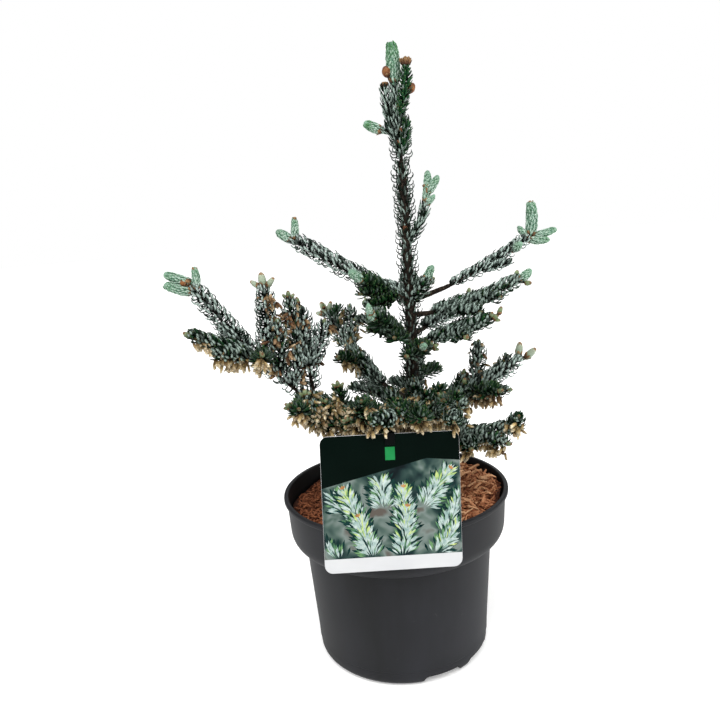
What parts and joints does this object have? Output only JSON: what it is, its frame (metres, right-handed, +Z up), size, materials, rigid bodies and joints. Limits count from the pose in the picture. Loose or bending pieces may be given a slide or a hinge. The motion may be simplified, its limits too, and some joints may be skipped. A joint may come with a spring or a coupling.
{
  "type": "young korean fir in a nursery pot",
  "caption": "Young Korean fir with upturned silvery-green brushes of needles in a round nursery pot, with bark mulch and a picture label clipped to the rim.",
  "frame": {"origin": "centre of the pot's flat underside, on the ground", "axes": "+Z up the trunk, -Y to the front where the label stands, +X to the right seen from the front"},
  "size_m": [0.3086, 0.225, 0.4956],
  "materials": {
    "plastic": "charcoal polypropylene, softly satin, with faint moulded rings",
    "mulch": "damp shredded conifer bark",
    "bark": "dull grey-brown young bark with fine lenticels",
    "needles": "dark green needles, silvery blue-green beneath",
    "card": "printed glossy label stock",
    "clip": "smooth black moulded plastic"
  },
  "bodies": {
    "root": {"pot": "plastic", "bark_mulch": "mulch", "trunk": "bark", "label_card": "card", "label_clip": "clip", "bough_upper_left": "bark", "bough_upper_left_low": "bark", "bough_upper_right": "bark", "bough_mid_right": "bark", "bough_mid_right_low": "bark", "bough_upper_back": "bark", "bough_upper_back_left": "bark", "bough_upper_back_right": "bark", "bough_left": "bark", "bough_left_up": "bark", "bough_front_left": "bark", "bough_front_left_mid": "bark", "bough_front": "bark", "bough_front_right": "bark", "bough_right": "bark", "bough_right_low": "bark", "bough_back_left": "bark", "bough_back_left_low": "bark", "bough_back": "bark", "bough_back_right": "bark", "bough_back_side": "bark", "needles_upper_left": "needles", "needles_upper_left_low": "needles", "needles_upper_right": "needles", "needles_mid_right": "needles", "needles_mid_right_low": "needles", "needles_upper_back": "needles", "needles_upper_back_left": "needles", "needles_upper_back_right": "needles", "needles_left": "needles", "needles_left_up": "needles", "needles_front_left": "needles", "needles_front_left_mid": "needles", "needles_front": "needles", "needles_front_right": "needles", "needles_right": "needles", "needles_right_low": "needles", "needles_back_left": "needles", "needles_back_left_low": "needles", "needles_back": "needles", "needles_back_right": "needles", "needles_back_side": "needles", "needles_leader": "needles", "needles_trunk_right": "needles", "needles_trunk_right_bud": "needles", "needles_front_small": "needles", "needles_trunk_low": "needles", "needles_trunk_mid": "needles", "needles_trunk_high": "needles"}
  },
  "joints": []
}
